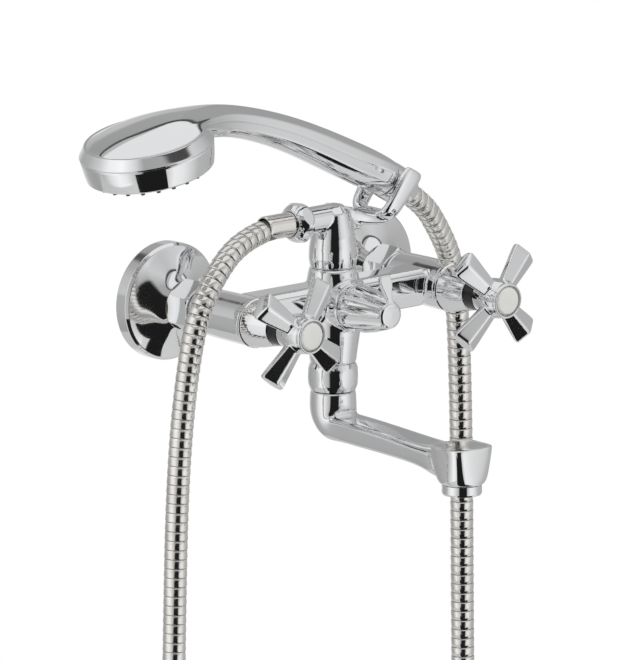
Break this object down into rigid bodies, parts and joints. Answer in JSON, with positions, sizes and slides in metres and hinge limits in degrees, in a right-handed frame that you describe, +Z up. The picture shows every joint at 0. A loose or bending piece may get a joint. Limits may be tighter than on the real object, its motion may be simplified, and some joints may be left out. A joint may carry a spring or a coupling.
{
  "type": "bath mixer tap with hand shower",
  "caption": "Wall-mounted two-handle bath and shower mixer: cross handles, diverter knob, swivel spout, hand shower in its fork and a ribbed metal hose.",
  "frame": {"origin": "midway between the two wall inlets' axes, on the wall's face", "axes": "+Z up, the room towards -Y, +X to the right of someone facing the wall; the wall is the plane Y = 0"},
  "size_m": [0.2972, 0.2105, 0.7015],
  "materials": {
    "chrome": "mirror polished chrome plate",
    "brass": "machined brass",
    "steel": "plain machined steel",
    "hose_steel": "polished ribbed steel strip",
    "rubber": "matte black",
    "grey_rubber": "matte grey",
    "black_plastic": "satin black",
    "white_plastic": "gloss white",
    "ceramic": null
  },
  "bodies": {
    "mixer": {"body_casting": "chrome", "column_nipple": "brass", "diverter_cartridge": "brass", "fixed_disc_left": "ceramic", "fixed_disc_right": "ceramic", "headwork_left": "brass", "headwork_right": "brass", "hose": "hose_steel", "hose_ferrule": "chrome", "hose_nut": "chrome", "hose_washer": "rubber", "inlet_connector_left": "brass", "inlet_connector_right": "brass", "inlet_tail_left": "brass", "inlet_tail_right": "brass", "neck_sleeve_left": "black_plastic", "neck_sleeve_right": "black_plastic", "shower_column": "chrome", "spout_nut": "chrome", "union_nut_left": "chrome", "union_nut_right": "chrome", "union_washer_left": "rubber", "union_washer_right": "rubber", "valve_bell_left": "chrome", "valve_bell_right": "chrome", "valve_seal_left": "rubber", "valve_seal_right": "rubber", "wall_flange_left": "chrome", "wall_flange_right": "chrome"},
    "hot_handle": {"handle_hot": "chrome", "index_button_hot": "white_plastic", "handle_screw_hot": "steel", "spindle_left": "brass", "moving_disc_left": "ceramic"},
    "cold_handle": {"handle_cold": "chrome", "index_button_cold": "white_plastic", "handle_screw_cold": "steel", "spindle_right": "brass", "moving_disc_right": "ceramic"},
    "diverter": {"diverter_knob": "chrome", "diverter_pointer": "chrome", "diverter_spindle": "brass"},
    "spout_arm": {"spout": "chrome", "spout_collar": "white_plastic", "spout_seals": "rubber", "aerator_housing": "chrome", "aerator_insert": "white_plastic", "aerator_washer": "rubber"},
    "handset": {"handset_shell": "chrome", "spray_ring": "chrome", "spray_face": "white_plastic", "spray_nozzles": "grey_rubber", "handset_stem": "brass", "handset_washer": "rubber", "hose_nipple": "brass", "cone_nut": "chrome"}
  },
  "joints": [
    {"name": "hot_valve_turn", "type": "hinge", "parent": "mixer", "child": "hot_handle", "pos_m": [-0.075, -0.12, 0], "axis": [0, -1, 0], "range_deg": [0, 180]},
    {"name": "cold_valve_turn", "type": "hinge", "parent": "mixer", "child": "cold_handle", "pos_m": [0.075, -0.12, 0], "axis": [0, 1, 0], "range_deg": [0, 180]},
    {"name": "diverter_turn", "type": "hinge", "parent": "mixer", "child": "diverter", "pos_m": [0, -0.1, -0.001], "axis": [0, -1, 0], "range_deg": [-90, 90]},
    {"name": "spout_swivel", "type": "hinge", "parent": "mixer", "child": "spout_arm", "pos_m": [0, -0.066, -0.06], "axis": [0, 0, 1], "range_deg": [-75, 75]},
    {"name": "handset_lift", "type": "slide", "parent": "mixer", "child": "handset", "axis": [0, 0, 1], "range_m": [0, 0.06], "deforming": ["hose"]}
  ]
}
